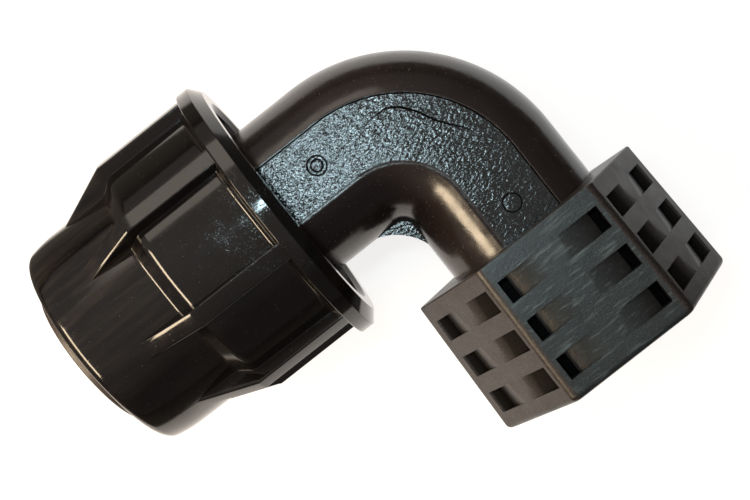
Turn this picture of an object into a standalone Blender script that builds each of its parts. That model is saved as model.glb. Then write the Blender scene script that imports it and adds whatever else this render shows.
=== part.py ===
"""Compression elbow with a female threaded hexagonal socket, for 32 mm polyethylene pipe.

The elbow lies on its side. The crossing point of its two bores is the corner. The nut's axis runs
from the corner along -X, the socket's axis along -Y, and +Z is up. Every distance named _AT is
measured from the corner along one of these two axes. All sizes are in metres.
"""

from math import asin, atan2, cos, pi, radians, sin, sqrt, tan

import bmesh
import bpy
from mathutils import Vector

MM = 0.001

# Driving sizes
PIPE_RADIUS = 16.0 * MM
SOCKET_THREAD_RADIUS = 20.955 * MM

# Clearances between pieces, and the overlap that joins shapes of one moulding
PIPE_CLEARANCE = 0.35 * MM
SEAT_GAP = 0.35 * MM
THREAD_GAP = 0.35 * MM
JOIN = 0.5 * MM

# Elbow tube
TUBE_RADIUS = 18.8 * MM
BORE_RADIUS = 13.0 * MM
BEND_INNER_RADIUS = 2.9 * MM
PAD_OUTER = 8.5 * MM
PAD_INNER = 7.3 * MM
PAD_DROP = 1.45 * MM
PAD_EDGE = 0.2 * MM
WEB_THICKNESS = 3.0 * MM
WEB_REACH = 28.4 * MM
WEB_ARC_RADIUS = 13.0 * MM

# Hexagonal socket
HEX_NECK_AT = 36.8 * MM
HEX_LENGTH = 33.5 * MM
HEX_NECK_CORNER = 29.1 * MM
HEX_END_CORNER = 30.2 * MM
HEX_SIDE_ROUND = 0.5 * MM
HEX_FACE_ROUND = 1.6 * MM
HEX_END_ROUND = 1.5 * MM
HEX_NECK_ROUND = 0.4 * MM
SLOT_COUNT = 3
SLOT_WIDTH = 5.35 * MM
SLOT_MERGE_HALF = 2.2 * MM
CORE_SIDE = 10.5 * MM
POST_INNER = 12.7 * MM
POST_OUTER = 15.6 * MM
RECESS_DEPTH = 6.0 * MM
FIN_HALF = 2.2 * MM
SLOT_TOOL_CLEAR = 3.0 * MM
SLOT_TOOL_START = 0.65
SOCKET_DEPTH = 22.5 * MM
SOCKET_FOOT_CONE = 3.0 * MM
SOCKET_FOOT_STEP = 2.0 * MM
MOUTH_CHAMFER = 1.0 * MM

# Threaded stub inside the nut
STUB_AT = 38.4 * MM
STUB_END_AT = 62.2 * MM
STUB_ROOT_RADIUS = 23.8 * MM
STUB_CONE = 1.2 * MM
STUB_CHAMFER = 1.0 * MM
NUT_THREAD_PITCH = 5.0 * MM
NUT_THREAD_HEIGHT = 2.1 * MM
NUT_THREAD_TURNS = 3.5
RIDGE_ROOT_HALF = 1.25 * MM
RIDGE_CREST_HALF = 0.65 * MM
STUB_RIDGE_AT = 42.2 * MM
RIDGE_FADE_TURN = 0.2
RIDGE_END_SHARE = 0.02
PIPE_STOP_AT = 39.0 * MM

# Seal and bush
SEAL_RADIUS = 1.75 * MM
SEAL_SQUEEZE = 0.05 * MM
SEAL_SEAT_DEPTH = 7.1 * MM
BUSH_NOSE_DEPTH = 2.8 * MM
BUSH_FLANGE_LENGTH = 4.1 * MM
BUSH_FLANGE_RADIUS = 22.6 * MM
BUSH_CHAMFER = 1.5 * MM

# Nut
NUT_REAR_AT = 37.0 * MM
NUT_LENGTH = 53.0 * MM
FLANGE_RADIUS = 33.05 * MM
FLANGE_LENGTH = 5.2 * MM
FLANGE_BEVEL_LENGTH = 2.1 * MM
FLANGE_BEVEL_DROP = 2.65 * MM
FLANGE_EDGE = 0.4 * MM
FLANGE_FILLET = 1.9 * MM
PANEL_RADIUS = 29.4 * MM
PANEL_END_RADIUS = 29.2 * MM
PANEL_LENGTH = 26.0 * MM
PANEL_ROUND = 3.2 * MM
SHOULDER_SLOPE = radians(38)
SHOULDER_FILLET = 0.8 * MM
CAP_RADIUS = 26.55 * MM
CAP_END_RADIUS = 26.4 * MM
NUT_FRONT_ROUND = 3.8 * MM
NUT_MOUTH_RADIUS = 18.8 * MM
NUT_CONE_RADIUS = 23.2 * MM
NUT_CONE_AT = 30.8 * MM
NUT_CONE_LENGTH = 20.5 * MM
NUT_LEAD_IN = 1.0 * MM
STUB_END_ROOM = 1.0 * MM
CONE_LEAD_LENGTH = 2.0 * MM
CONE_LEAD_STEP = 0.4 * MM
RIB_COUNT = 8
RIB_WIDTH = 4.2 * MM
RIB_STAND = 2.7 * MM
RIB_LENGTH = 27.6 * MM
RIB_TIP_AT = 41.5 * MM
RIB_ROOT_WALL = 1.4 * MM
RIB_ROOT_IN_CAP = 1.2 * MM
RIB_EDGE = 0.5 * MM
FIRST_RIB_ANGLE = radians(-17.2)

# Split grip ring
RING_NOSE = 2.6 * MM
RING_NOSE_RADIUS = 17.9 * MM
RING_EDGE = 0.5 * MM
RING_SPLIT_ANGLE = radians(16)
RING_SPLIT_CENTRE = radians(200)
BARB_COUNT = 5
BARB_HEIGHT = 0.7 * MM

# Facets around
TUBE_ARC_STEPS = 12
BORE_STEPS = 28
BEND_STEPS = 14
NUT_STEPS = 60
STUB_STEPS = 44
RING_STEPS = 40
SEAL_STEPS = 40
SEAL_SECTION_STEPS = 10
THREAD_STEPS = 26
CORNER_STEPS = 3

# Sizes that follow from the ones above
MALE_CREST_RADIUS = STUB_ROOT_RADIUS + NUT_THREAD_HEIGHT
NUT_BORE_RADIUS = MALE_CREST_RADIUS + THREAD_GAP
PIPE_BORE_RADIUS = PIPE_RADIUS + PIPE_CLEARANCE
SEAL_SEAT_RADIUS = PIPE_BORE_RADIUS + 2 * SEAL_RADIUS + SEAT_GAP - SEAL_SQUEEZE
SEAL_SEAT_AT = STUB_END_AT - SEAL_SEAT_DEPTH
HEX_END_AT = HEX_NECK_AT + HEX_LENGTH
SLOT_LAND = (HEX_LENGTH - SLOT_COUNT * SLOT_WIDTH) / (SLOT_COUNT + 1)
BEND_RADIUS = TUBE_RADIUS + BEND_INNER_RADIUS
PAD_HEIGHT = TUBE_RADIUS - PAD_DROP
RIB_RADIUS = PANEL_RADIUS + RIB_STAND
NUT_FRONT_AT = NUT_REAR_AT + NUT_LENGTH
RING_FRONT_AT = NUT_FRONT_AT + RING_NOSE
CORNER_X = (RING_FRONT_AT - HEX_END_CORNER) / 2
CORNER_Y = (HEX_END_AT - FLANGE_RADIUS) / 2
CORNER_Z = FLANGE_RADIUS

ALONG_NUT = (0, -pi / 2, 0)
ALONG_SOCKET = (pi / 2, 0, 0)


def clear_scene():
    for old in list(bpy.data.objects):
        bpy.data.objects.remove(old, do_unlink=True)


def linear(value):
    return value / 12.92 if value <= 0.04045 else ((value + 0.055) / 1.055) ** 2.4


def plastic(name, hex_colour, roughness):
    """A Principled material from an sRGB hex colour."""
    material = bpy.data.materials.new(name)
    material.use_nodes = True
    channels = [linear(int(hex_colour[i:i + 2], 16) / 255) for i in (0, 2, 4)]
    shader = material.node_tree.nodes["Principled BSDF"]
    shader.inputs["Base Color"].default_value = (*channels, 1)
    shader.inputs["Roughness"].default_value = roughness
    shader.inputs["Metallic"].default_value = 0
    material.diffuse_color = (*channels, 1)
    return material


def add_object(name, bm, parent, material=None, at=(0, 0, 0), turned=(0, 0, 0)):
    """Turn a bmesh into a smooth-shaded object with outward faces."""
    bmesh.ops.recalc_face_normals(bm, faces=bm.faces)
    mesh = bpy.data.meshes.new(name)
    bm.to_mesh(mesh)
    bm.free()
    mesh.shade_smooth()
    mesh.set_sharp_from_angle(angle=radians(32))
    made = bpy.data.objects.new(name, mesh)
    bpy.context.scene.collection.objects.link(made)
    made.location = at
    made.rotation_euler = turned
    made.parent = parent
    if material:
        mesh.materials.append(material)
    return made


def as_tool(tool):
    """Mark an object that only shapes another one."""
    tool.hide_render = True
    tool.display_type = "WIRE"
    return tool


def combine(target, tool, operation):
    """Join a tool to the target or cut it away, with a live modifier."""
    modifier = target.modifiers.new(operation.lower() + "_" + tool.name, "BOOLEAN")
    modifier.operation = operation
    modifier.object = as_tool(tool)


def loft(bm, rings, closed_loop=False):
    """Skin a list of equal rings of points, with end faces unless the rings form a loop."""
    made = [[bm.verts.new(point) for point in ring] for ring in rings]
    count = len(made[0])
    pairs = list(zip(made, made[1:]))
    if closed_loop:
        pairs.append((made[-1], made[0]))
    for first, second in pairs:
        for i in range(count):
            j = (i + 1) % count
            bm.faces.new((first[i], first[j], second[j], second[i]))
    if not closed_loop:
        bm.faces.new(made[0][::-1])
        bm.faces.new(made[-1])


def circle(radius, height, steps):
    turns = [2 * pi * i / steps for i in range(steps)]
    return [(radius * cos(t), radius * sin(t), height) for t in turns]


def turned_solid(profile, steps):
    """Solid of revolution about Z from (height, radius) points."""
    bm = bmesh.new()
    loft(bm, [circle(radius, height, steps) for height, radius in profile])
    return bm


def turned_ring(profile, steps):
    """Hollow solid of revolution about Z from a closed loop of (height, radius) points."""
    bm = bmesh.new()
    turns = [2 * pi * i / steps for i in range(steps)]
    loft(bm, [[(r * cos(t), r * sin(t), h) for h, r in profile] for t in turns], closed_loop=True)
    return bm


def split_ring(profile, steps, first_angle, last_angle):
    """Open ring about Z: a closed loop of (height, radius) points swept between two angles."""
    bm = bmesh.new()
    turns = [first_angle + (last_angle - first_angle) * i / steps for i in range(steps + 1)]
    loft(bm, [[(r * cos(t), r * sin(t), h) for h, r in profile] for t in turns])
    return bm


def arc(centre, radius, start, end, steps):
    """Points of an arc in a plane, between two angles in radians."""
    turns = [start + (end - start) * i / steps for i in range(steps + 1)]
    return [(centre[0] + radius * cos(t), centre[1] + radius * sin(t)) for t in turns]


def prism(bm, outline, low, high):
    """Extrude a plane outline along Z between two heights."""
    loft(bm, [[(x, y, low) for x, y in outline], [(x, y, high) for x, y in outline]])


def helical_ridge(root_radius, crest_radius, root_half, crest_half, pitch, turns, steps):
    """Right-handed thread ridge about Z that starts at height 0 and sinks into the wall at its ends."""
    bm = bmesh.new()
    count = round(turns * steps)
    fade_steps = round(RIDGE_FADE_TURN * steps)
    rings = []
    for i in range(count + 1):
        share = min(1, min(i, count - i) / fade_steps + RIDGE_END_SHARE)
        crest = root_radius + (crest_radius - root_radius) * share
        half = crest_half + (root_half - crest_half) * (1 - share)
        turn = 2 * pi * i / steps
        height = pitch * i / steps
        section = ((root_radius, -root_half), (crest, -half), (crest, half), (root_radius, root_half))
        rings.append([(r * cos(turn), r * sin(turn), height + h) for r, h in section])
    loft(bm, rings)
    return bm


def elbow_stations(nut_reach, socket_reach):
    """Points along the centreline, each with its outward normal in the elbow's plane."""
    stations = [((-nut_reach, 0), (0, 1))]
    for i in range(BEND_STEPS + 1):
        turn = (1 - i / BEND_STEPS) * pi / 2
        normal = (cos(turn), sin(turn))
        stations.append(((BEND_RADIUS * (normal[0] - 1), BEND_RADIUS * (normal[1] - 1)), normal))
    stations.append(((0, -socket_reach), (1, 0)))
    return stations


def swept(section, nut_reach, socket_reach):
    """Sweep a section of (outward, up) points along the elbow's centreline."""
    bm = bmesh.new()
    rings = []
    for (x, y), (nx, ny) in elbow_stations(nut_reach, socket_reach):
        rings.append([(x + out * nx, y + out * ny, up) for out, up in section])
    loft(bm, rings)
    return bm


def tube_section():
    """Circle with a flat pad at the top and at the bottom, wider outside the centreline than inside."""
    outer_turn = asin(PAD_OUTER / TUBE_RADIUS)
    inner_turn = asin(PAD_INNER / TUBE_RADIUS)
    outer = arc((0, 0), TUBE_RADIUS, outer_turn - pi / 2, pi / 2 - outer_turn, TUBE_ARC_STEPS)
    inner = arc((0, 0), TUBE_RADIUS, pi / 2 + inner_turn, 3 * pi / 2 - inner_turn, TUBE_ARC_STEPS)
    top = [(PAD_OUTER - PAD_EDGE, PAD_HEIGHT), (PAD_EDGE - PAD_INNER, PAD_HEIGHT)]
    bottom = [(out, -up) for out, up in top[::-1]]
    return outer + top + inner + bottom


def gusset_web():
    """Thin web across the inner corner, with a hollow free edge."""
    bm = bmesh.new()
    root = -TUBE_RADIUS + JOIN
    half_chord = (WEB_REACH + root) / sqrt(2)
    middle = -(WEB_REACH - root) / 2
    set_back = sqrt(WEB_ARC_RADIUS ** 2 - half_chord ** 2) / sqrt(2)
    centre = (middle - set_back, middle - set_back)
    start = atan2(root - centre[1], -WEB_REACH - centre[0])
    outline = arc(centre, WEB_ARC_RADIUS, start, pi / 2 - start, 12)
    inner = -TUBE_RADIUS + 4 * JOIN
    outline += [(inner, -WEB_REACH), (inner, inner), (-WEB_REACH, inner)]
    prism(bm, outline, -WEB_THICKNESS / 2, WEB_THICKNESS / 2)
    return bm


def hexagon(corner, inset=0.0):
    """Hexagon with rounded corners; the two corners at the sides are sharper."""
    points = []
    for k in range(6):
        turn = k * pi / 3
        rounding = HEX_SIDE_ROUND if k % 3 == 0 else HEX_FACE_ROUND
        reach = corner - inset / cos(pi / 6) - rounding / cos(pi / 6)
        centre = (reach * cos(turn), reach * sin(turn))
        points += arc(centre, rounding, turn - pi / 6, turn + pi / 6, CORNER_STEPS)
    return points


def hex_corner(height):
    return HEX_NECK_CORNER + (HEX_END_CORNER - HEX_NECK_CORNER) * height / HEX_LENGTH


def hex_block():
    """Tapered hexagon from the neck shoulder to the rounded free end."""
    levels = [(0, HEX_NECK_ROUND), (HEX_NECK_ROUND, 0)]
    for i in range(CORNER_STEPS + 1):
        turn = i * pi / (2 * CORNER_STEPS)
        levels.append((HEX_LENGTH - HEX_END_ROUND * (1 - sin(turn)), HEX_END_ROUND * (1 - cos(turn))))
    bm = bmesh.new()
    loft(bm, [[(x, y, height) for x, y in hexagon(hex_corner(height), inset)] for height, inset in levels])
    return bm


def slot_outlines(middle_height):
    """The three hollows of one quarter of a slot, around a round core that meets the flats."""
    corner = hex_corner(middle_height)
    apothem = corner * cos(pi / 6)
    core = sqrt(apothem ** 2 + SLOT_MERGE_HALF ** 2)
    clear = SLOT_TOOL_CLEAR
    merge_turn = asin(SLOT_MERGE_HALF * SLOT_TOOL_START / core)
    face = pi / 6
    normal = (cos(face), sin(face))

    front = arc((0, 0), core, pi / 2 - merge_turn, pi / 2 - asin(CORE_SIDE / core), 4)
    front += [(CORE_SIDE, apothem - RECESS_DEPTH), (POST_INNER, apothem - RECESS_DEPTH)]
    front += [(POST_INNER, apothem + clear), (front[0][0], apothem + clear)]

    inner = arc((0, 0), core, pi / 2 - asin(POST_OUTER / core), face + merge_turn, 4)
    inner += [(inner[-1][0] + clear * normal[0], inner[-1][1] + clear * normal[1])]
    inner += [(POST_OUTER, apothem + clear)]

    outer = arc((0, 0), core, face - merge_turn, asin(FIN_HALF / core), 4)
    outer += [(corner + clear, FIN_HALF)]
    outer += [(outer[0][0] + clear * normal[0], outer[0][1] + clear * normal[1])]
    return front, inner, outer


def slot_hollows():
    """Every hollow that cores the hexagon's faces, mirrored into all four quarters."""
    bm = bmesh.new()
    for slot in range(SLOT_COUNT):
        low = SLOT_LAND + slot * (SLOT_WIDTH + SLOT_LAND)
        for outline in slot_outlines(low + SLOT_WIDTH / 2):
            for side in (1, -1):
                for face in (1, -1):
                    mirrored = [(side * x, face * y) for x, y in outline]
                    prism(bm, mirrored, low, low + SLOT_WIDTH)
    return bm


def stub_solid():
    """Stub that carries the nut's thread, from a cone at the neck to a chamfered end."""
    length = STUB_END_AT - STUB_AT
    profile = [(-JOIN, TUBE_RADIUS - 4 * JOIN), (0, TUBE_RADIUS - JOIN), (STUB_CONE, STUB_ROOT_RADIUS)]
    profile += [(length - STUB_CHAMFER, STUB_ROOT_RADIUS), (length, STUB_ROOT_RADIUS - STUB_CHAMFER)]
    return turned_solid(profile, STUB_STEPS)


def pipe_socket_hollow():
    """Pipe socket with the seal's wider seat at its mouth."""
    seat = SEAL_SEAT_AT - PIPE_STOP_AT
    end = STUB_END_AT - PIPE_STOP_AT
    profile = [(0, PIPE_BORE_RADIUS), (seat, PIPE_BORE_RADIUS), (seat, SEAL_SEAT_RADIUS)]
    profile += [(end - JOIN, SEAL_SEAT_RADIUS), (end + JOIN, SEAL_SEAT_RADIUS + 2 * JOIN)]
    return turned_solid(profile, STUB_STEPS)


def threaded_socket_hollow():
    """Hollow of the female thread, with a cone at its foot and a chamfered mouth."""
    profile = [(-SOCKET_FOOT_CONE, BORE_RADIUS - JOIN), (0, SOCKET_THREAD_RADIUS - SOCKET_FOOT_STEP)]
    profile += [(0, SOCKET_THREAD_RADIUS), (SOCKET_DEPTH - MOUTH_CHAMFER, SOCKET_THREAD_RADIUS)]
    profile += [(SOCKET_DEPTH + MOUTH_CHAMFER, SOCKET_THREAD_RADIUS + 2 * MOUTH_CHAMFER)]
    return turned_solid(profile, STUB_STEPS)


def elbow_body(parent, material):
    """One moulding: tube, stub, hexagonal socket and web, hollowed by its bores."""
    tube = swept(tube_section(), STUB_AT + 2 * JOIN, HEX_NECK_AT + 4 * JOIN)
    body = add_object("elbow_body", tube, parent, material)
    stub_place = (-STUB_AT, 0, 0)
    combine(body, add_object("stub", stub_solid(), parent, None, stub_place, ALONG_NUT), "UNION")
    hexagonal = add_object("hexagon", hex_block(), parent, None, (0, -HEX_NECK_AT, 0), ALONG_SOCKET)
    hollows = add_object("slots", slot_hollows(), parent, None, (0, -HEX_NECK_AT, 0), ALONG_SOCKET)
    combine(hexagonal, hollows, "DIFFERENCE")
    combine(body, hexagonal, "UNION")
    combine(body, add_object("web", gusset_web(), parent), "UNION")

    circle_section = arc((0, 0), BORE_RADIUS, 0, 2 * pi * (1 - 1 / BORE_STEPS), BORE_STEPS - 1)
    bore = swept(circle_section, PIPE_STOP_AT + JOIN, HEX_END_AT - SOCKET_DEPTH - JOIN)
    combine(body, add_object("waterway", bore, parent), "DIFFERENCE")
    pipe_place = (-PIPE_STOP_AT, 0, 0)
    pipe_socket = add_object("pipe_socket", pipe_socket_hollow(), parent, None, pipe_place, ALONG_NUT)
    combine(body, pipe_socket, "DIFFERENCE")
    socket_place = (0, -(HEX_END_AT - SOCKET_DEPTH), 0)
    socket = add_object("thread_hollow", threaded_socket_hollow(), parent, None, socket_place, ALONG_SOCKET)
    combine(body, socket, "DIFFERENCE")

    ridge = helical_ridge(STUB_ROOT_RADIUS - JOIN, MALE_CREST_RADIUS, RIDGE_ROOT_HALF, RIDGE_CREST_HALF,
                          NUT_THREAD_PITCH, NUT_THREAD_TURNS, THREAD_STEPS)
    ridge_place = (-STUB_RIDGE_AT, 0, 0)
    combine(body, add_object("stub_thread", ridge, parent, None, ridge_place, ALONG_NUT), "UNION")
    return body


def shoulder():
    """The step from the panels to the cap: rounded edge, slope and fillet, as (height, radius) points."""
    edge = arc((PANEL_LENGTH, PANEL_END_RADIUS - PANEL_ROUND), PANEL_ROUND, pi / 2, pi / 2 - SHOULDER_SLOPE, 3)
    turned = 1 - cos(SHOULDER_SLOPE)
    drop = edge[-1][1] - CAP_RADIUS - SHOULDER_FILLET * turned
    foot = edge[-1][0] + drop / tan(SHOULDER_SLOPE) + SHOULDER_FILLET * sin(SHOULDER_SLOPE)
    foot_centre = (foot, CAP_RADIUS + SHOULDER_FILLET)
    return edge + arc(foot_centre, SHOULDER_FILLET, 3 * pi / 2 - SHOULDER_SLOPE, 3 * pi / 2, 1)


def nut_profile():
    """Closed loop of (height, radius) points, from the rear face round the outside and back."""
    length = NUT_LENGTH
    outside = [(0, NUT_BORE_RADIUS + NUT_LEAD_IN), (0, FLANGE_RADIUS - FLANGE_BEVEL_DROP)]
    outside += [(FLANGE_BEVEL_LENGTH, FLANGE_RADIUS)]
    outside += [(FLANGE_LENGTH - FLANGE_EDGE, FLANGE_RADIUS), (FLANGE_LENGTH, FLANGE_RADIUS - FLANGE_EDGE)]
    drop = FLANGE_RADIUS - FLANGE_EDGE - PANEL_RADIUS
    outside += [(FLANGE_LENGTH + FLANGE_FILLET * (1 - cos(t)), PANEL_RADIUS + drop * (1 - sin(t)))
                for t in (pi / 6, pi / 3, pi / 2)]
    outside += shoulder()
    outside += [(length - NUT_FRONT_ROUND * (1 - sin(t)), CAP_END_RADIUS - NUT_FRONT_ROUND * (1 - cos(t)))
                for t in (0, pi / 10, pi / 5, 3 * pi / 10, 2 * pi / 5, pi / 2)]
    inside = [(length, NUT_MOUTH_RADIUS + RING_EDGE), (length - RING_EDGE, NUT_MOUTH_RADIUS)]
    inside += [(NUT_CONE_AT + NUT_CONE_LENGTH, NUT_MOUTH_RADIUS), (NUT_CONE_AT, NUT_CONE_RADIUS)]
    inside += [(NUT_CONE_AT - CONE_LEAD_LENGTH, NUT_CONE_RADIUS + CONE_LEAD_STEP)]
    inside += [(STUB_END_AT - NUT_REAR_AT + STUB_END_ROOM, NUT_BORE_RADIUS), (NUT_LEAD_IN, NUT_BORE_RADIUS)]
    return outside + inside


def nut_ribs():
    """Straight ribs that run out of the flange and slope down onto the cap."""
    bm = bmesh.new()
    under_panel = NUT_BORE_RADIUS + RIB_ROOT_WALL
    under_cap = CAP_RADIUS - RIB_ROOT_IN_CAP
    outline = [(FLANGE_LENGTH - JOIN, under_panel), (PANEL_LENGTH - 2 * JOIN, under_panel)]
    outline += [(shoulder()[-1][0], under_cap), (RIB_TIP_AT, under_cap)]
    outline += [(RIB_TIP_AT, CAP_RADIUS - JOIN / 2), (RIB_LENGTH, RIB_RADIUS), (FLANGE_LENGTH - JOIN, RIB_RADIUS)]
    for k in range(RIB_COUNT):
        turn = FIRST_RIB_ANGLE + 2 * pi * k / RIB_COUNT
        out = Vector((cos(turn), sin(turn), 0))
        across = Vector((-sin(turn), cos(turn), 0)) * (RIB_WIDTH / 2)
        middle = [out * radius + Vector((0, 0, height)) for height, radius in outline]
        loft(bm, [[point - across for point in middle], [point + across for point in middle]])
    return bm


def compression_nut(parent, material):
    """Nut with flange, ribs, stepped cap, inner cone and female thread."""
    place = (-NUT_REAR_AT, 0, 0)
    nut = add_object("compression_nut", turned_ring(nut_profile(), NUT_STEPS), parent, material, place, ALONG_NUT)
    ribs = add_object("ribs", nut_ribs(), parent, None, place, ALONG_NUT)
    softened = ribs.modifiers.new("rib_edges", "BEVEL")
    softened.width = RIB_EDGE
    softened.segments = 1
    softened.limit_method = "ANGLE"
    softened.angle_limit = radians(30)
    combine(nut, ribs, "UNION")

    slope = (RIDGE_ROOT_HALF - RIDGE_CREST_HALF) / (NUT_THREAD_HEIGHT + JOIN)
    groove_crest = NUT_THREAD_PITCH / 2 - RIDGE_ROOT_HALF - THREAD_GAP
    groove_root = groove_crest + slope * (NUT_THREAD_HEIGHT + JOIN)
    ridge = helical_ridge(NUT_BORE_RADIUS + JOIN, STUB_ROOT_RADIUS + THREAD_GAP, groove_root, groove_crest,
                          NUT_THREAD_PITCH, NUT_THREAD_TURNS, THREAD_STEPS)
    ridge_place = (-(STUB_RIDGE_AT - NUT_THREAD_PITCH / 2), 0, 0)
    combine(nut, add_object("nut_thread", ridge, parent, None, ridge_place, ALONG_NUT), "UNION")
    return nut


def grip_ring(parent, material):
    """Split tapered ring with inner barbs; its nose stands out of the nut's mouth."""
    cone_start = NUT_CONE_AT
    mouth = NUT_CONE_AT + NUT_CONE_LENGTH
    front = NUT_LENGTH + RING_NOSE
    outside = [(cone_start, NUT_CONE_RADIUS - SEAT_GAP - RING_EDGE)]
    outside += [(cone_start + RING_EDGE, NUT_CONE_RADIUS - SEAT_GAP - RING_EDGE / 4)]
    outside += [(mouth, NUT_MOUTH_RADIUS - SEAT_GAP), (NUT_LENGTH, NUT_MOUTH_RADIUS - SEAT_GAP)]
    outside += [(front - RING_EDGE, RING_NOSE_RADIUS), (front, RING_NOSE_RADIUS - RING_EDGE)]
    barb_pitch = (front - cone_start - 3 * RING_EDGE) / BARB_COUNT
    barb_root = PIPE_BORE_RADIUS + BARB_HEIGHT
    inside = [(front, PIPE_BORE_RADIUS + RING_EDGE), (front - RING_EDGE, PIPE_BORE_RADIUS)]
    for k in range(BARB_COUNT):
        crest = front - RING_EDGE - k * barb_pitch
        inside += [(crest - RING_EDGE, PIPE_BORE_RADIUS), (crest - 2 * RING_EDGE, barb_root)]
        if k < BARB_COUNT - 1:
            inside += [(crest - barb_pitch, PIPE_BORE_RADIUS)]
    inside += [(cone_start, barb_root)]
    first = RING_SPLIT_CENTRE + RING_SPLIT_ANGLE / 2
    last = RING_SPLIT_CENTRE - RING_SPLIT_ANGLE / 2 + 2 * pi
    bm = split_ring(outside + inside, RING_STEPS, first, last)
    return add_object("grip_ring", bm, parent, material, (-NUT_REAR_AT, 0, 0), ALONG_NUT)


def thrust_bush(parent, material):
    """Flanged bush that pushes the seal into its seat."""
    nose = PIPE_BORE_RADIUS
    nose_outer = SEAL_SEAT_RADIUS - SEAT_GAP
    flange_start = BUSH_NOSE_DEPTH + SEAT_GAP
    end = flange_start + BUSH_FLANGE_LENGTH
    profile = [(0, nose), (0, nose_outer), (flange_start, nose_outer), (flange_start, BUSH_FLANGE_RADIUS)]
    profile += [(end - BUSH_CHAMFER, BUSH_FLANGE_RADIUS), (end, BUSH_FLANGE_RADIUS - BUSH_CHAMFER)]
    profile += [(end, nose)]
    place = (-(STUB_END_AT - BUSH_NOSE_DEPTH), 0, 0)
    return add_object("thrust_bush", turned_ring(profile, RING_STEPS), parent, material, place, ALONG_NUT)


def o_ring_seal(parent, material):
    """Rubber ring in the seat behind the bush."""
    centre_radius = PIPE_BORE_RADIUS + SEAL_RADIUS - SEAL_SQUEEZE
    turns = [2 * pi * i / SEAL_SECTION_STEPS for i in range(SEAL_SECTION_STEPS)]
    profile = [(SEAL_RADIUS * sin(t), centre_radius + SEAL_RADIUS * cos(t)) for t in turns]
    place = (-(SEAL_SEAT_AT + SEAL_RADIUS + SEAT_GAP), 0, 0)
    return add_object("o_ring_seal", turned_ring(profile, SEAL_STEPS), parent, material, place, ALONG_NUT)


def build():
    clear_scene()
    corner = bpy.data.objects.new("corner", None)
    bpy.context.scene.collection.objects.link(corner)
    corner.location = (CORNER_X, CORNER_Y, CORNER_Z)
    elbow_body(corner, plastic("moulded_body_black", "2b2a2c", 0.42))
    compression_nut(corner, plastic("moulded_nut_black", "1d1b1c", 0.22))
    grip_ring(corner, plastic("moulded_ring_brown_grey", "4a423e", 0.35))
    thrust_bush(corner, plastic("moulded_bush_black", "232222", 0.4))
    o_ring_seal(corner, plastic("seal_rubber_black", "191919", 0.6))


build()
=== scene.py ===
from math import asin, atan2, cos, pi, radians, sin, sqrt, tan

import bmesh
import bpy
from mathutils import Euler, Matrix, Vector


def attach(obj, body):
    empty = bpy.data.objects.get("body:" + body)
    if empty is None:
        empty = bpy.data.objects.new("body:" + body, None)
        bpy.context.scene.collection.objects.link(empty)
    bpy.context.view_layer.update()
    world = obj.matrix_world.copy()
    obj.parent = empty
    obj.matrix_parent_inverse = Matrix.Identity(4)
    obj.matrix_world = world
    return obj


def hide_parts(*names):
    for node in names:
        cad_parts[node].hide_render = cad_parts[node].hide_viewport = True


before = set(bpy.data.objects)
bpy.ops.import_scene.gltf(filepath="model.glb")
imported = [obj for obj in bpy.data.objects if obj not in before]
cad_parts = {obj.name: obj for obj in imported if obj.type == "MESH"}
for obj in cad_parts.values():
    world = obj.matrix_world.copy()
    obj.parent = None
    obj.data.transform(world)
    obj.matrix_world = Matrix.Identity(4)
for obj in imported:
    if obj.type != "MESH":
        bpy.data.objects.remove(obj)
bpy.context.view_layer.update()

# The elbow lies on its side. The corner is the point where its two bores' axes cross: the nut's axis
# runs from it along -X, the socket's along -Y. A size named _AT is a distance from the corner, but
# NUT_CONE_AT and RIB_TIP_AT start at the nut's rear.
MM = 0.001
CORNER = Vector((0.0312, 0.018625, 0.03305))

# Elbow tube and its flat pads, as (outward, up) from the centreline. The groove's points are (inwards,
# down) from the lip, the bead's (outwards, up) from the pad's inner edge.
TUBE_RADIUS = 18.8 * MM
BORE_RADIUS = 13.0 * MM
BEND_INNER_RADIUS = 2.9 * MM
PAD_HEIGHT = 17.35 * MM
PAD_OUTER = 8.5 * MM
PAD_INNER = 7.3 * MM
PAD_SINK = 0.02 * MM
PAD_EDGE = 0.15 * MM
PAD_LIP = 0.22 * MM
PAD_GROOVE = ((0, 0), (0.08 * MM, 0.45 * MM), (0.24 * MM, 0.45 * MM), (0.34 * MM, PAD_SINK))
PAD_BORDER = 1.2 * MM
PAD_BORDER_SLOPE = 0.12 * MM
PAD_BORDER_SINK = 0.05 * MM
PAD_BEAD = ((0.5 * MM, -PAD_BORDER_SINK), (0.38 * MM, 0.08 * MM), (0.2 * MM, 0.08 * MM))
WEB_THICKNESS = 3.0 * MM
WEB_REACH = 28.4 * MM
WEB_ARC_RADIUS = 13.0 * MM

# Marks on the upper pad, at points of the photo: rings of the ejector pins, and a flow line, cut by a
# wedge whose height is given in depths of the line
PIN_MARKS = (((316.8, 165.6), (2.1 * MM, 1.3 * MM)), ((512.5, 202.5), (2.0 * MM,)))
MARK_HALF = 0.17 * MM
MARK_DEPTH = 0.25 * MM
PIN_DOME = 0.06 * MM
PIN_STEPS = 48
FLOW_LINE = ((365, 125), (375, 116), (386, 108), (400, 107), (419, 112), (435, 120), (449, 124), (463, 127),
             (473, 131))
FLOW_LINE_HALF = 0.27 * MM
FLOW_LINE_TAIL = 0.8
WEDGE_HEIGHT = 3

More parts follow.
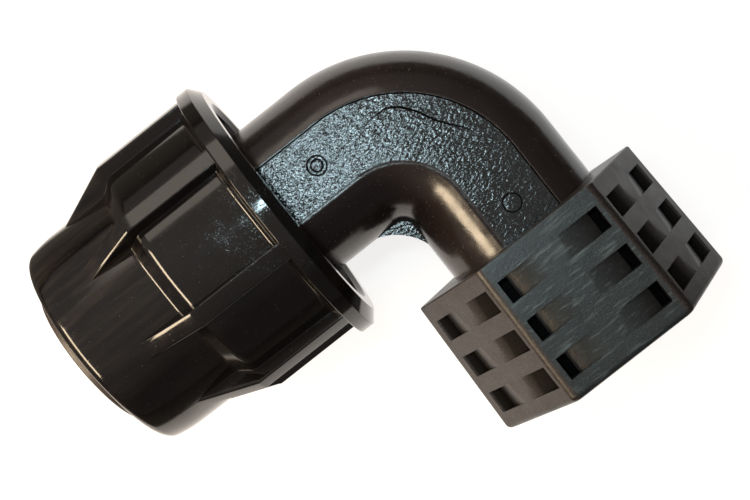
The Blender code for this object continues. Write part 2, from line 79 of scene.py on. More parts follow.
# Hexagonal socket
HEX_NECK_AT = 36.8 * MM
HEX_LENGTH = 33.5 * MM
HEX_NECK_CORNER = 29.1 * MM
HEX_END_CORNER = 30.19 * MM
HEX_SIDE_ROUND = 0.5 * MM
HEX_FACE_ROUND = 2.0 * MM
HEX_END_ROUND = 1.5 * MM
HEX_NECK_ROUND = 0.4 * MM
HEX_PLAIN_NECK = 2.0 * MM
HEX_BLEND = 0.1 * MM
SLOT_COUNT = 3
SLOT_WIDTH = 5.35 * MM
SLOT_MERGE_HALF = 2.2 * MM
CORE_SIDE = 10.5 * MM
POST_INNER = 12.7 * MM
POST_OUTER = 15.6 * MM
RECESS_DEPTH = 6.0 * MM
FIN_HALF = 2.2 * MM
SLOT_TOOL_CLEAR = 3.0 * MM
SLOT_TOOL_START = 0.65
SOCKET_DEPTH = 22.5 * MM
SOCKET_FOOT_CONE = 3.0 * MM
SOCKET_FOOT_STEP = 2.0 * MM
MOUTH_CHAMFER = 1.0 * MM
SOCKET_THREAD_RADIUS = 20.955 * MM
SOCKET_THREAD_CREST = 19.476 * MM
SOCKET_THREAD_PITCH = 2.309 * MM
SOCKET_RIDGE_ROOT_HALF = 0.46 * SOCKET_THREAD_PITCH
SOCKET_RIDGE_CREST_HALF = 0.09 * SOCKET_THREAD_PITCH

# Threaded stub inside the nut, and the pieces in it
PIPE_BORE_RADIUS = 16.35 * MM
PIPE_STOP_AT = 39.0 * MM
STUB_AT = 38.4 * MM
STUB_END_AT = 62.2 * MM
STUB_ROOT_RADIUS = 23.8 * MM
STUB_CONE = 1.2 * MM
STUB_CHAMFER = 1.0 * MM
NUT_THREAD_PITCH = 5.0 * MM
NUT_THREAD_HEIGHT = 2.1 * MM
NUT_THREAD_TURNS = 3.5
RIDGE_ROOT_HALF = 1.25 * MM
RIDGE_CREST_HALF = 0.65 * MM
STUB_RIDGE_AT = 42.2 * MM
RIDGE_FADE_TURN = 0.2
RIDGE_END_SHARE = 0.02
THREAD_GAP = 0.35 * MM
SEAT_GAP = 0.35 * MM
SEAL_RADIUS = 1.75 * MM
SEAL_SQUEEZE = 0.05 * MM
SEAL_SEAT_DEPTH = 7.1 * MM
BUSH_NOSE_DEPTH = 2.8 * MM
BUSH_FLANGE_LENGTH = 4.1 * MM
BUSH_FLANGE_RADIUS = 22.6 * MM
BUSH_CHAMFER = 1.5 * MM

# Nut
NUT_REAR_AT = 37.0 * MM
NUT_LENGTH = 53.0 * MM
FLANGE_RADIUS = 33.05 * MM
FLANGE_LENGTH = 5.2 * MM
FLANGE_BEVEL_LENGTH = 2.1 * MM
FLANGE_BEVEL_DROP = 2.65 * MM
FLANGE_EDGE = 0.4 * MM
FLANGE_FILLET = 1.9 * MM
PANEL_RADIUS = 29.4 * MM
PANEL_END_RADIUS = 29.2 * MM
PANEL_LENGTH = 25.8 * MM
PANEL_ROUND = 3.2 * MM
SHOULDER_SLOPE = radians(38)
SHOULDER_FILLET = 1.9 * MM
CAP_RADIUS = 26.55 * MM
CAP_END_RADIUS = 26.4 * MM
NUT_FRONT_ROUND = 2.3 * MM
NUT_FRONT_TAPER = 6.0 * MM
NUT_FRONT_SLOPE = radians(12)
NUT_MOUTH_RADIUS = 18.8 * MM
NUT_CONE_RADIUS = 23.2 * MM
NUT_CONE_AT = 30.8 * MM
NUT_CONE_LENGTH = 20.5 * MM
NUT_LEAD_IN = 1.0 * MM
STUB_END_ROOM = 1.0 * MM
CONE_LEAD_LENGTH = 2.0 * MM
CONE_LEAD_STEP = 0.4 * MM
RIB_COUNT = 8
RIB_WIDTH = 4.2 * MM
RIB_STAND = 2.7 * MM
RIB_LENGTH = 27.6 * MM
RIB_TIP_AT = 41.5 * MM
RIB_ROOT_WALL = 1.4 * MM
RIB_ROOT_IN_CAP = 1.2 * MM
RIB_EDGE = 0.35 * MM
RIB_SLOPE_EDGE = 0.6 * MM
RIB_SLOPE_START, RIB_SLOPE_MIDDLE = 0.04, 0.6
FIRST_RIB_ANGLE = radians(-17.2)

# Split grip ring
RING_NOSE = 2.6 * MM
RING_NOSE_RADIUS = 17.9 * MM
RING_EDGE = 0.5 * MM
RING_SPLIT_ANGLE = radians(16)
RING_SPLIT_CENTRE = radians(200)
BARB_COUNT = 5
BARB_HEIGHT = 0.7 * MM

# Camera of the photograph: its place and its right, up and back directions
CAMERA_AT = Vector((0.012398, -0.003119, 0.343836))
CAMERA_RIGHT = Vector((0.784835, -0.619104, -0.02795))
CAMERA_UP = Vector((0.618891, 0.785324, -0.016758))
CAMERA_BACK = Vector((0.03232, -0.00414, 0.99947))
CAMERA_LENS, CAMERA_SENSOR = 67.4, 36.0
PHOTO_WIDTH, PHOTO_HEIGHT, PHOTO_FOCAL = 750, 500, 1404.2

# Floor, and the white sheet under the object as reflections see it, along the camera's right and up.
# Tints are linear colours.
FLOOR_SIZE = 3.0
FLOOR_GAP = 0.2 * MM
FLOOR_PAINT, SHEET_PAINT, TABLE_PAINT = 0.8, 0.38, 0.1
SHEET_LEFT, SHEET_RIGHT = -0.096, 0.125
SHEET_BOTTOM, SHEET_TOP = -0.135, 0.145
SHEET_EDGE = 0.012
SHEET_GLOW = 0.82
SHEET_TINT_FROM, SHEET_TINT_TO = -0.12, 0.15
WARM_TINT, COOL_TINT, SEEN_TINT = [1.25, 1.12, 1.03, 1.0], [0.86, 0.90, 0.93, 1.0], [1.0, 0.995, 0.99, 1.0]

# Room round the object, and lamps: name, place, aim, width, height, colour, and radiance of the face
ROOM_DARK, ROOM_LIGHT = "565252", "c0b9b3"
WINDOW_DIRECTION, WINDOW_REACH = (-0.25, 0.50, 0.80), 0.95
LAMPS = (
    ("lamp_near_camera", (-0.004, 0.0465, 0.355), (0.026, 0.0405, 0.05), 0.024, 0.066, "d0ecf5", 56.0),
    ("window", (0.04, 0.39, 0.31), (0.0, 0.0, 0.03), 0.36, 0.22, "fff1e0", 2.0),
    ("warm_lamp", (-0.32, 0.06, 0.255), (0.0, 0.06, 0.05), 0.32, 0.09, "ffe6c2", 22.0),
)

# Facets
ROUND_STEPS = 144
THREAD_STEPS = 59
TUBE_ARC_STEPS = 48
BEND_STEPS = 48
CORNER_STEPS = 8
SMALL_STEPS = 4
BORE_STEPS = 96
WEB_STEPS = 40
SLOT_STEPS = 12
RIB_EDGE_STEPS = 6
SEAL_STEPS = 24
SHARP_ANGLE = radians(30)
FLAT_FACE_WEIGHT = 90
BEVEL_SAMPLES = 6

# Overlap of solids that are joined or cut
JOIN = 0.5 * MM

BEND_RADIUS = TUBE_RADIUS + BEND_INNER_RADIUS
RIB_RADIUS = PANEL_RADIUS + RIB_STAND
MALE_CREST_RADIUS = STUB_ROOT_RADIUS + NUT_THREAD_HEIGHT
NUT_BORE_RADIUS = MALE_CREST_RADIUS + THREAD_GAP
SEAL_SEAT_RADIUS = PIPE_BORE_RADIUS + 2 * SEAL_RADIUS + SEAT_GAP - SEAL_SQUEEZE
SEAL_SEAT_AT = STUB_END_AT - SEAL_SEAT_DEPTH
CAP_FROM = CORNER.x - NUT_REAR_AT - PANEL_LENGTH - 2 * SHOULDER_FILLET
HEX_END_AT = HEX_NECK_AT + HEX_LENGTH
SLOT_LAND = (HEX_LENGTH - SLOT_COUNT * SLOT_WIDTH) / (SLOT_COUNT + 1)


# Places: local +Z runs outwards along the nut's or the socket's axis

def on_elbow():
    return Matrix.Translation(CORNER)


def along_nut(at):
    return Matrix.Translation(CORNER + Vector((-at, 0, 0))) @ Euler((0, -pi / 2, 0)).to_matrix().to_4x4()


def along_socket(at):
    return Matrix.Translation(CORNER + Vector((0, -at, 0))) @ Euler((pi / 2, 0, 0)).to_matrix().to_4x4()


# Mesh building

def in_scene(name, data):
    made = bpy.data.objects.new(name, data)
    bpy.context.scene.collection.objects.link(made)
    return made


def solid(name, bm, place, materials):
    """Put a bmesh in its place in the row frame, as an object at the origin."""
    bmesh.ops.transform(bm, matrix=place, verts=bm.verts)
    bmesh.ops.recalc_face_normals(bm, faces=bm.faces)
    mesh = bpy.data.meshes.new(name)
    bm.to_mesh(mesh)
    bm.free()
    for material in materials:
        mesh.materials.append(material)
    return in_scene(name, mesh)


def combine(target, tool, operation):
    modifier = target.modifiers.new(operation.lower() + "_" + tool.name, "BOOLEAN")
    modifier.operation = operation
    modifier.object = tool
    modifier.solver = "EXACT"
    modifier.material_mode = "TRANSFER"
    tool.hide_render = True


def worked_mesh(worked):
    """The mesh of an object with its modifiers applied."""
    bpy.context.view_layer.update()
    return bpy.data.meshes.new_from_object(worked.evaluated_get(bpy.context.evaluated_depsgraph_get()))


def settle(worked, name):
    """Turn a worked object into one plain, smooth-shaded mesh and delete its tools."""
    tools = [m.object for m in worked.modifiers if m.type == "BOOLEAN"]
    mesh = worked_mesh(worked)
    mesh.name = name
    piece = in_scene(name, mesh)
    for old in tools + [worked]:
        bpy.data.objects.remove(old, do_unlink=True)
    mesh.shade_smooth()
    mesh.set_sharp_from_angle(angle=SHARP_ANGLE)
    weighted = piece.modifiers.new("flat_faces_stay_flat", "WEIGHTED_NORMAL")
    weighted.keep_sharp = True
    weighted.weight = FLAT_FACE_WEIGHT
    return piece


def loft(bm, rings, closed_loop=False, paint=None):
    """Skin equal rings of points; paint gives the material index of each column of faces."""
    made = [[bm.verts.new(point) for point in ring] for ring in rings]
    count = len(made[0])
    pairs = list(zip(made, made[1:]))
    if closed_loop:
        pairs.append((made[-1], made[0]))
    for first, second in pairs:
        for i in range(count):
            j = (i + 1) % count
            face = bm.faces.new((first[i], first[j], second[j], second[i]))
            if paint:
                face.material_index = paint[i]
    if not closed_loop:
        bm.faces.new(made[0][::-1])
        bm.faces.new(made[-1])


def painted(bm, finish):
    for face in bm.faces:
        face.material_index = finish
    return bm


def full_turn(steps):
    return [2 * pi * i / steps for i in range(steps)]


def turned_solid(profile):
    """Solid of revolution about Z from (height, radius) points."""
    bm = bmesh.new()
    loft(bm, [[(r * cos(t), r * sin(t), h) for t in full_turn(ROUND_STEPS)] for h, r in profile])
    return bm


def turned_ring(profile):
    """Hollow solid of revolution about Z from a closed loop of (height, radius) points."""
    bm = bmesh.new()
    rings = [[(r * cos(t), r * sin(t), h) for h, r in profile] for t in full_turn(ROUND_STEPS)]
    loft(bm, rings, closed_loop=True)
    return bm


def arc(centre, radius, start, end, steps):
    turns = [start + (end - start) * i / steps for i in range(steps + 1)]
    return [(centre[0] + radius * cos(t), centre[1] + radius * sin(t)) for t in turns]


def circle(centre, radius, steps):
    return arc(centre, radius, 0, 2 * pi * (1 - 1 / steps), steps - 1)


def prism(bm, outline, low, high):
    loft(bm, [[(x, y, low) for x, y in outline], [(x, y, high) for x, y in outline]])


def helical_ridge(root_radius, crest_radius, root_half, crest_half, pitch, turns):
    """Right-handed thread ridge about Z that starts at height 0 and sinks into the wall at its ends."""
    bm = bmesh.new()
    count = round(turns * THREAD_STEPS)
    fade_steps = round(RIDGE_FADE_TURN * THREAD_STEPS)
    rings = []
    for i in range(count + 1):
        share = min(1, min(i, count - i) / fade_steps + RIDGE_END_SHARE)
        crest = root_radius + (crest_radius - root_radius) * share
        half = crest_half + (root_half - crest_half) * (1 - share)
        turn = 2 * pi * i / THREAD_STEPS
        height = pitch * i / THREAD_STEPS
        section = ((root_radius, -root_half), (crest, -half), (crest, half), (root_radius, root_half))
        rings.append([(r * cos(turn), r * sin(turn), height + h) for r, h in section])
    loft(bm, rings)
    return bm


# Geometry Nodes: one tree repeats a mesh round an axis or along a line

def tree_node(tree, kind, settings=None, inputs=None, links=None):
    """Add a node with its settings, its fixed inputs and its links: {input: output socket}."""
    made = tree.nodes.new(kind)
    for key, value in (settings or {}).items():
        setattr(made, key, value)
    for key, value in (inputs or {}).items():
        made.inputs[key].default_value = value
    for key, source in (links or {}).items():
        tree.links.new(source, made.inputs[key])
    return made


def repeating_tree():
    """Copies of the incoming mesh, each turned about Z, moved on and grown from the one before."""
    tree = bpy.data.node_groups.new("copies round an axis or along a line", "GeometryNodeTree")
    tree.interface.new_socket("Geometry", in_out="INPUT", socket_type="NodeSocketGeometry")
    for name, kind in (("Copies", "Int"), ("First Turn", "Float"), ("Turn Between", "Float"),
                       ("Step Between", "Vector"), ("Growth Between", "Float"), ("Material", "Material")):
        tree.interface.new_socket(name, in_out="INPUT", socket_type="NodeSocket" + kind)
    tree.interface.new_socket("Geometry", in_out="OUTPUT", socket_type="NodeSocketGeometry")
    given = tree_node(tree, "NodeGroupInput").outputs
    line = tree_node(tree, "GeometryNodeMeshLine", {"mode": "OFFSET"},
                     links={"Count": given["Copies"], "Offset": given["Step Between"]})
    index = tree_node(tree, "GeometryNodeInputIndex")
    turned = tree_node(tree, "ShaderNodeMath", {"operation": "MULTIPLY_ADD"},
                       links={0: index.outputs[0], 1: given["Turn Between"], 2: given["First Turn"]})
    turn = tree_node(tree, "ShaderNodeCombineXYZ", links={"Z": turned.outputs[0]})
    grown = tree_node(tree, "ShaderNodeMath", {"operation": "MULTIPLY_ADD"}, {2: 1.0},
                      {0: index.outputs[0], 1: given["Growth Between"]})
    scale = tree_node(tree, "ShaderNodeCombineXYZ", inputs={"Z": 1.0},
                      links={"X": grown.outputs[0], "Y": grown.outputs[0]})
    copies = tree_node(tree, "GeometryNodeInstanceOnPoints",
                       links={"Points": line.outputs[0], "Instance": given["Geometry"],
                              "Rotation": turn.outputs[0], "Scale": scale.outputs[0]})
    real = tree_node(tree, "GeometryNodeRealizeInstances", links={"Geometry": copies.outputs[0]})
    finished = tree_node(tree, "GeometryNodeSetMaterial",
                         links={"Geometry": real.outputs[0], "Material": given["Material"]})
    tree_node(tree, "NodeGroupOutput", links={"Geometry": finished.outputs[0]})
    return tree


def repeated(name, bm, tree, place, material, copies, first_turn=0.0, turn_between=0.0,
             step_between=(0, 0, 0), growth_between=0.0):
    """A mesh repeated by the tree, as a plain object in its place."""
    one = solid(name + "_one", bm, Matrix(), [material])
    modifier = one.modifiers.new("copies", "NODES")
    modifier.node_group = tree
    values = {"Copies": copies, "First Turn": first_turn, "Turn Between": turn_between,
              "Step Between": step_between, "Growth Between": growth_between, "Material": material}
    for item in tree.interface.items_tree:
        if item.name in values:
            modifier[item.identifier] = values[item.name]
    mesh = worked_mesh(one)
    bpy.data.objects.remove(one, do_unlink=True)
    mesh.transform(place)
    return in_scene(name, mesh)


# Materials

def hex_colour(text):
    """Linear colour from an sRGB hex string."""
    values = [int(text[i:i + 2], 16) / 255 for i in (0, 2, 4)]
    return [*(v / 12.92 if v <= 0.04045 else ((v + 0.055) / 1.055) ** 2.4 for v in values), 1.0]


def new_material(name, roughness, ior):
    material = bpy.data.materials.new(name)
    material.use_nodes = True
    tree = material.node_tree
    shader = tree.nodes["Principled BSDF"]
    shader.inputs["Roughness"].default_value = roughness
    shader.inputs["IOR"].default_value = ior
    shader.inputs["Metallic"].default_value = 0.0
    place = tree_node(tree, "ShaderNodeTexCoord").outputs["Object"]
    return material, tree, shader, place


def noise(tree, place, size_mm, stretch=(1, 1, 1), detail=2.0):
    """Noise whose grains measure size_mm, drawn out by the stretch factors."""
    scaled = tree_node(tree, "ShaderNodeMapping", inputs={"Scale": [1 / s for s in stretch]},
                       links={"Vector": place})
    return tree_node(tree, "ShaderNodeTexNoise", inputs={"Scale": 1 / (size_mm * MM), "Detail": detail},
                     links={"Vector": scaled.outputs[0]}).outputs["Fac"]


def ranged(tree, value, low, high, to_low=0.0, to_high=1.0):
    """Map low to high onto to_low to to_high, held at both ends."""
    return tree_node(tree, "ShaderNodeMapRange",
                     inputs={"From Min": low, "From Max": high, "To Min": to_low, "To Max": to_high},
                     links={"Value": value}).outputs[0]


def maths(tree, operation, first, second=0.0):
    node = tree_node(tree, "ShaderNodeMath", {"operation": operation})
    for i, value in enumerate((first, second)):
        if isinstance(value, (int, float)):
            node.inputs[i].default_value = value
        else:
            tree.links.new(value, node.inputs[i])
    return node.outputs[0]


def plus(tree, first, second):
    return maths(tree, "ADD", first, second)


def times(tree, first, second):
    return maths(tree, "MULTIPLY", first, second)


def along_direction(tree, place, direction):
    return tree_node(tree, "ShaderNodeVectorMath", {"operation": "DOT_PRODUCT"}, {1: direction},
                     {0: place}).outputs["Value"]


def mixed(tree, factor, first, second):
    """Mix of two colours, each an sRGB hex string, a linear list or an output socket."""
    node = tree_node(tree, "ShaderNodeMix", {"data_type": "RGBA"}, links={"Factor": factor})
    colour_a, colour_b, colour_result = 6, 7, 2
    for socket, value in ((colour_a, first), (colour_b, second)):
        if isinstance(value, str):
            value = hex_colour(value)
        if isinstance(value, list):
            node.inputs[socket].default_value = value
        else:
            tree.links.new(value, node.inputs[socket])
    return node.outputs[colour_result]


def mixed_shaders(tree, factor, first, second):
    return tree_node(tree, "ShaderNodeMixShader", links={0: factor, 1: first, 2: second}).outputs[0]


def relief(tree, shader, layers, edge_mm=0.2):
    """Stack bumps of (height pattern, height in mm) over edges rounded by edge_mm."""
    rounding = tree_node(tree, "ShaderNodeBevel", {"samples": BEVEL_SAMPLES}, {"Radius": edge_mm * MM})
    normal = rounding.outputs[0]
    for pattern, height_mm in layers:
        normal = tree_node(tree, "ShaderNodeBump", inputs={"Strength": 1.0, "Distance": height_mm * MM},
                           links={"Height": pattern, "Normal": normal}).outputs[0]
    tree.links.new(normal, shader.inputs["Normal"])


def dust(tree, place, size_mm, amount):
    """Sparse specks: 1 on a speck, 0 elsewhere."""
    return ranged(tree, noise(tree, place, size_mm, detail=1.0), 0.74 - amount, 0.80 - amount)


def hexagon_places(tree, place):
    """1 on the hexagonal socket and 0 elsewhere; and mm below its faces, 0 away from its hollows."""
    axes = tree_node(tree, "ShaderNodeSeparateXYZ", links={"Vector": place}).outputs
    across = maths(tree, "ABSOLUTE", maths(tree, "SUBTRACT", axes[0], CORNER.x))
    along = maths(tree, "SUBTRACT", CORNER.y, axes[1])
    up = maths(tree, "ABSOLUTE", maths(tree, "SUBTRACT", axes[2], CORNER.z))
    side = plus(tree, times(tree, across, cos(pi / 6)), times(tree, up, sin(pi / 6)))
    face = ranged(tree, along, HEX_NECK_AT, HEX_END_AT, HEX_NECK_CORNER * cos(pi / 6),
                  HEX_END_CORNER * cos(pi / 6))
    on_socket = ranged(tree, along, HEX_NECK_AT - HEX_BLEND, HEX_NECK_AT)
    rounding_at = HEX_END_AT - HEX_END_ROUND
    before_end = ranged(tree, along, rounding_at - HEX_BLEND, rounding_at, 1.0, 0.0)
    hollows_at = HEX_NECK_AT + HEX_PLAIN_NECK
    behind_neck = ranged(tree, along, hollows_at, hollows_at + HEX_BLEND)
    depth = times(tree, maths(tree, "SUBTRACT", face, maths(tree, "MAXIMUM", up, side)), 1 / MM)
    return on_socket, times(tree, depth, times(tree, before_end, behind_neck))


def satin_polypropylene():
    """Black polypropylene from a polished mould: satin and brownish, duller on the socket; painted shade
    darkens its hollows with depth, near-black deep down."""
    material, tree, shader, place = new_material("moulded_polypropylene_satin", 0.3, 1.49)
    on_socket, depth = hexagon_places(tree, place)
    # Painted shade: the hollows darken and lose their shine with depth below the faces, near-black deep
    # down.
    painted_hollow_shade = ranged(tree, depth, 0.05, 0.7, 0.0, 0.85)
    dark = ranged(tree, depth, 0.6, 3.0)
    cloud = noise(tree, place, 9.0, detail=3.0)
    specks = dust(tree, place, 0.45, 0.02)
    grain = noise(tree, place, 0.4)
    body = mixed(tree, cloud, "1a1413", "2a211e")
    body = mixed(tree, times(tree, on_socket, ranged(tree, grain, 0.5, 0.7, 0.0, 0.5)), body,
                 "4f4743")
    body = mixed(tree, specks, body, "4a4542")
    body = mixed(tree, painted_hollow_shade, body, "100e0b")
    tree.links.new(mixed(tree, dark, body, "060505"), shader.inputs["Base Color"])
    haze = ranged(tree, noise(tree, place, 3.5, detail=4.0), 0.35, 0.65, 0.14, 0.22)
    haze = plus(tree, haze, times(tree, on_socket, 0.2))
    haze = plus(tree, haze, times(tree, painted_hollow_shade, 0.15))
    tree.links.new(plus(tree, haze, times(tree, specks, 0.3)), shader.inputs["Roughness"])
    dull = times(tree, ranged(tree, dark, 0.0, 1.0, 0.5, 0.05), ranged(tree, painted_hollow_shade, 0.0, 0.85, 1.0, 0.15))
    tree.links.new(dull, shader.inputs["Specular IOR Level"])
    rough_grain = times(tree, grain, ranged(tree, on_socket, 0.0, 1.0, 0.2, 1.0))
    relief(tree, shader, [(noise(tree, place, 2.2, detail=1.0), 0.02), (rough_grain, 0.04), (specks, 0.01)],
           edge_mm=0.08)
    return material


def eroded_polypropylene():
    """Black polypropylene from a spark-eroded mould face: pebbles that glint blue-grey, deepest by the nut,
    with pale painted glints on the finest grain and painted shade in the hollows; rubbed in streaky
    lines on the hexagon, where the grain is fine."""
    material, tree, shader, place = new_material("spark_eroded_polypropylene", 0.16, 1.5)
    on_socket, depth = hexagon_places(tree, place)
    axes = tree_node(tree, "ShaderNodeSeparateXYZ", links={"Vector": place}).outputs
    # Painted shade: the hollows darken and lose their shine with depth below the faces, near-black deep
    # down.
    painted_hollow_shade = ranged(tree, depth, 0.1, 1.4, 0.0, 0.85)
    dark = ranged(tree, depth, 1.5, 4.5)
    deep = ranged(tree, axes[1], CORNER.y - HEX_NECK_AT, CORNER.y, 0.6, 1.0)
    deep = times(tree, deep, ranged(tree, on_socket, 0.0, 1.0, 1.0, 0.5))
    cloud = noise(tree, place, 5.0, detail=4.0)
    pebbles = noise(tree, place, 0.62, stretch=(1.7, 1, 1))
    fine = noise(tree, place, 0.26, stretch=(1.4, 1, 1), detail=1.0)
    body = mixed(tree, cloud, "0c0e10", "171c1f")
    # Painted glints: pale blue-grey flecks on the finest grain, standing in for the pebbles' sparkle.
    body = mixed(tree, ranged(tree, fine, 0.58, 0.68, 0.0, 0.35), body, "46555a")
    body = mixed(tree, times(tree, on_socket, 0.3), body, "2c3436")
    rubbed = ranged(tree, noise(tree, place, 0.7, stretch=(9, 1, 1), detail=3.0), 0.56, 0.72, 0.0, 0.8)
    rubbed = times(tree, rubbed, on_socket)
    body = mixed(tree, rubbed, body, "4a5558")
    body = mixed(tree, painted_hollow_shade, body, "0e0d0c")
    tree.links.new(mixed(tree, dark, body, "030303"), shader.inputs["Base Color"])
    gloss = ranged(tree, cloud, 0.3, 0.7, 0.06, 0.13)
    gloss = plus(tree, gloss, times(tree, on_socket, 0.24))
    tree.links.new(gloss, shader.inputs["Roughness"])
    tree.links.new(ranged(tree, dark, 0.0, 1.0, 0.5, 0.03), shader.inputs["Specular IOR Level"])
    relief(tree, shader, [(noise(tree, place, 3.0), 0.03), (times(tree, pebbles, deep), 0.12),
                          (fine, 0.026), (rubbed, 0.012)], edge_mm=0.05)
    return material


def glossy_polypropylene():
    """Black polypropylene from a polished mould, still glossy: brownish streaky flow marks along the nut,
    partly a painted sheen on the side that faces the window; pale dust; and fine bluish scuff marks,
    partly a painted sheen of the lamp by the camera, on the panel and flange that lie uppermost."""
    material, tree, shader, place = new_material("moulded_polypropylene_glossy", 0.1, 1.49)
    axes = tree_node(tree, "ShaderNodeSeparateXYZ", links={"Vector": place}).outputs
    cloud = noise(tree, place, 7.0, detail=3.0)
    specks = dust(tree, place, 0.35, 0.015)
    # Partly painted sheen: the streaky flow marks are tinted pale brown on the cap's side that faces the
    # window.
    streaks_and_sheen = ranged(tree, noise(tree, place, 1.8, stretch=(9, 1, 1)), 0.42, 0.78)
    on_cap = ranged(tree, axes[0], CAP_FROM, CAP_FROM + 2 * MM, 1.0, 0.15)
    window_sheen_side = ranged(tree, axes[1], CORNER.y - 10 * MM, CORNER.y + 6 * MM, 0.25, 1.0)
    streaks_and_sheen = times(tree, streaks_and_sheen, times(tree, on_cap, window_sheen_side))
    # Partly painted sheen: the bluish scuff marks lie near the top and towards the flange, where the lamp by
    # the camera shines.
    patches = ranged(tree, noise(tree, place, 5.0, detail=3.0), 0.45, 0.7)
    near_top = ranged(tree, axes[2], CORNER.z + 0.9 * PANEL_RADIUS, CORNER.z + 0.98 * PANEL_RADIUS)
    near_flange = ranged(tree, axes[0], CAP_FROM, CAP_FROM + 12 * MM, 0.1, 1.0)
    grit = ranged(tree, noise(tree, place, 0.3, stretch=(1.4, 1, 1), detail=1.0), 0.56, 0.68)
    scuffs_and_lamp_sheen = times(tree, times(tree, near_top, near_flange), times(tree, patches, grit))
    body = mixed(tree, cloud, "080707", "110e0e")
    body = mixed(tree, times(tree, streaks_and_sheen, 0.45), body, "352e28")
    body = mixed(tree, times(tree, scuffs_and_lamp_sheen, 0.35), body, "3d474c")
    tree.links.new(mixed(tree, specks, body, "2e3133"), shader.inputs["Base Color"])
    haze = plus(tree, ranged(tree, cloud, 0.3, 0.7, 0.07, 0.11), times(tree, streaks_and_sheen, 0.1))
    haze = plus(tree, haze, times(tree, scuffs_and_lamp_sheen, 0.2))
    tree.links.new(plus(tree, haze, times(tree, specks, 0.3)), shader.inputs["Roughness"])
    relief(tree, shader, [(noise(tree, place, 3.0, stretch=(5, 1, 1)), 0.02), (streaks_and_sheen, 0.002),
                          (scuffs_and_lamp_sheen, 0.012), (specks, 0.004)], edge_mm=0.2)
    return material


def plain_moulding(name, light, dark, roughness, ior):
    """Inner pieces: even moulded surface with a slight cloud in its gloss."""
    material, tree, shader, place = new_material(name, roughness, ior)
    cloud = noise(tree, place, 4.0, detail=3.0)
    tree.links.new(mixed(tree, cloud, dark, light), shader.inputs["Base Color"])
    gloss = ranged(tree, cloud, 0.3, 0.7, roughness - 0.05, roughness + 0.05)
    tree.links.new(gloss, shader.inputs["Roughness"])
    relief(tree, shader, [(noise(tree, place, 0.5), 0.006)], edge_mm=0.15)
    return material


def shaded_grooves():
    """Walls of fine grooves, given near-black, almost unreflective painted shade, since hardly any light
    gets in.
    """
    material, tree, shader, place = new_material("painted_shade_in_grooves", 0.6, 1.49)
    cloud = noise(tree, place, 2.0)
    tree.links.new(mixed(tree, cloud, "030303", "0a0909"), shader.inputs["Base Color"])
    shader.inputs["Specular IOR Level"].default_value = 0.05
    return material


# Elbow moulding

# SHADED faces take painted shade: near-black, almost unreflective walls of fine grooves.
SATIN, ERODED, SHADED = 0, 1, 2


def elbow_stations(nut_reach, socket_reach):
    """Points along the centreline, each with its outward normal in the elbow's plane."""
    stations = [((-nut_reach, 0), (0, 1))]
    for i in range(BEND_STEPS + 1):
        turn = (1 - i / BEND_STEPS) * pi / 2
        normal = (cos(turn), sin(turn))
        stations.append(((BEND_RADIUS * (normal[0] - 1), BEND_RADIUS * (normal[1] - 1)), normal))
    stations.append(((0, -socket_reach), (1, 0)))
    return stations


def swept(section, nut_reach, socket_reach, paint=None):
    """Sweep a section of (outward, up) points along the elbow's centreline."""
    bm = bmesh.new()
    rings = []
    for (x, y), (nx, ny) in elbow_stations(nut_reach, socket_reach):
        rings.append([(x + out * nx, y + out * ny, up) for out, up in section])
    loft(bm, rings, paint=paint)
    return bm


def tube_section():
    """Tube with a pad on top and underneath: a lip and a groove outside, a smooth border and a bead inside,
    pebbles between."""
    outer_turn = asin(PAD_OUTER / TUBE_RADIUS)
    inner_turn = asin(PAD_INNER / TUBE_RADIUS)
    outer = arc((0, 0), TUBE_RADIUS, outer_turn - pi / 2, pi / 2 - outer_turn, TUBE_ARC_STEPS)
    inner = arc((0, 0), TUBE_RADIUS, pi / 2 + inner_turn, 3 * pi / 2 - inner_turn, TUBE_ARC_STEPS)
    lip = [(PAD_OUTER, PAD_HEIGHT - PAD_EDGE)]
    lip += arc((PAD_OUTER - PAD_EDGE, PAD_HEIGHT - PAD_EDGE), PAD_EDGE, pi / 8, pi / 2, 3)
    groove_at = PAD_OUTER - PAD_EDGE - PAD_LIP
    lip += [(groove_at - inwards, PAD_HEIGHT - down) for inwards, down in PAD_GROOVE]
    border_at = -(PAD_INNER - PAD_BORDER)
    border = [(border_at, PAD_HEIGHT - PAD_SINK)]
    border += [(border_at - PAD_BORDER_SLOPE, PAD_HEIGHT - PAD_BORDER_SINK)]
    border += [(-PAD_INNER + outwards, PAD_HEIGHT + up) for outwards, up in PAD_BEAD]
    top = lip + border
    bottom = [(out, -up) for out, up in top[::-1]]
    section = outer + top + inner + bottom
    paint = [SATIN] * len(section)
    upper_face = len(outer) + len(lip) - 1
    lower_face = len(section) - len(lip) - 1
    # The groove's walls get painted shade.
    for i, finish in enumerate((ERODED, SHADED, SHADED, SHADED)):
        paint[upper_face - i] = finish
        paint[lower_face + i] = finish
    return section, paint


def gusset_web():
    """Thin web across the inner corner, with a hollow free edge and pebbled faces."""
    root = -TUBE_RADIUS + JOIN
    half_chord = (WEB_REACH + root) / sqrt(2)
    middle = -(WEB_REACH - root) / 2
    set_back = sqrt(WEB_ARC_RADIUS ** 2 - half_chord ** 2) / sqrt(2)
    centre = (middle - set_back, middle - set_back)
    start = atan2(root - centre[1], -WEB_REACH - centre[0])
    outline = arc(centre, WEB_ARC_RADIUS, start, pi / 2 - start, WEB_STEPS)
    inner = -TUBE_RADIUS + 4 * JOIN
    outline += [(inner, -WEB_REACH), (inner, inner), (-WEB_REACH, inner)]
    bm = bmesh.new()
    prism(bm, outline, -WEB_THICKNESS / 2, WEB_THICKNESS / 2)
    return painted(bm, ERODED)


